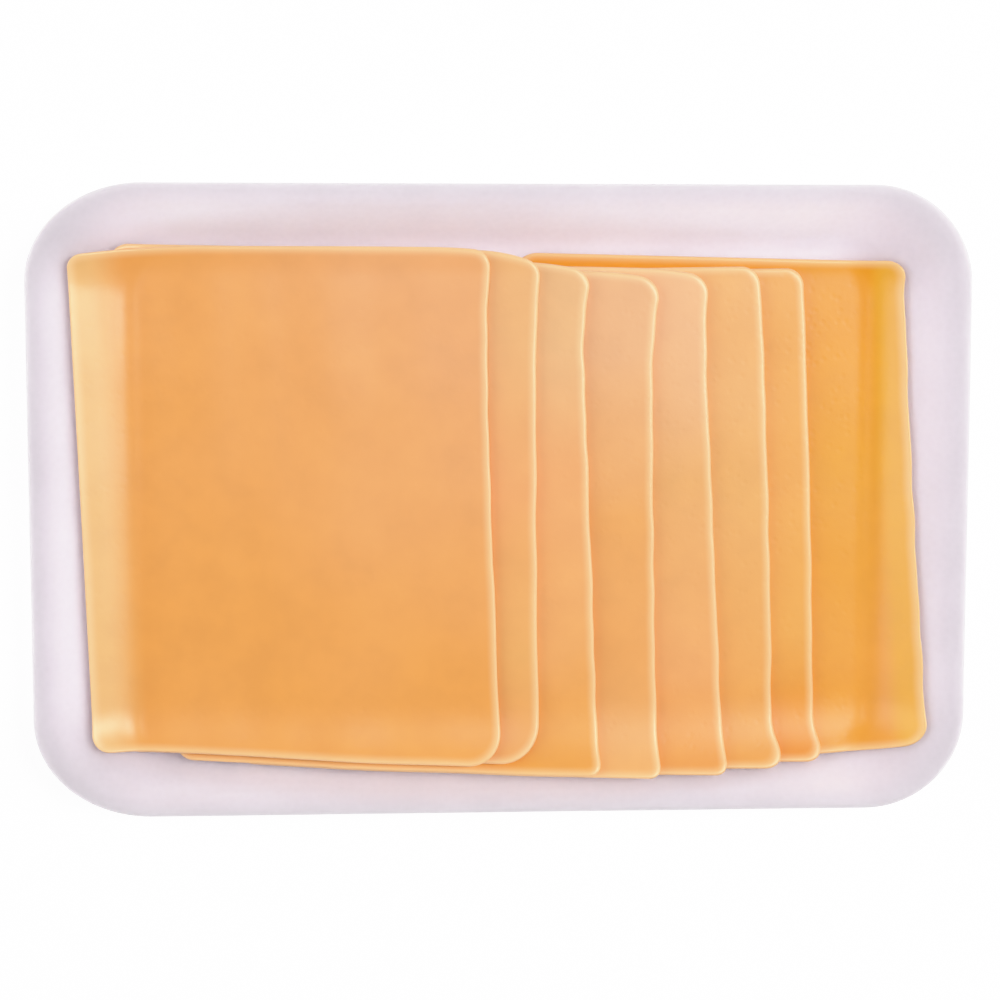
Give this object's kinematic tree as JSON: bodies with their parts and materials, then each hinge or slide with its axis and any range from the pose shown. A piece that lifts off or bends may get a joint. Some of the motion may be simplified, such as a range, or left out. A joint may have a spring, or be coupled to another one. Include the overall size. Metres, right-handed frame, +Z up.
{
  "type": "pack of sliced cheese",
  "caption": "Open foam tray with orange cheese slices fanned along it, each overlapping the next, their ends bending up the tray's walls.",
  "frame": {"origin": "middle of the tray's underside, on the surface that it stands on", "axes": "+Z up, +X along the tray towards the lowest slice, +Y across it"},
  "size_m": [0.21, 0.141, 0.019],
  "materials": {
    "foam": "expanded polystyrene foam, pale lavender white, satin skin with fine cells",
    "cheese": "soft orange sliced cheese, smooth cut faces with a low waxy sheen and paler edges"
  },
  "bodies": {
    "root": {"tray": "foam", "slice_1": "cheese", "slice_2": "cheese", "slice_3": "cheese", "slice_4": "cheese", "slice_5": "cheese", "slice_6": "cheese", "slice_7": "cheese", "slice_8": "cheese"}
  },
  "joints": []
}
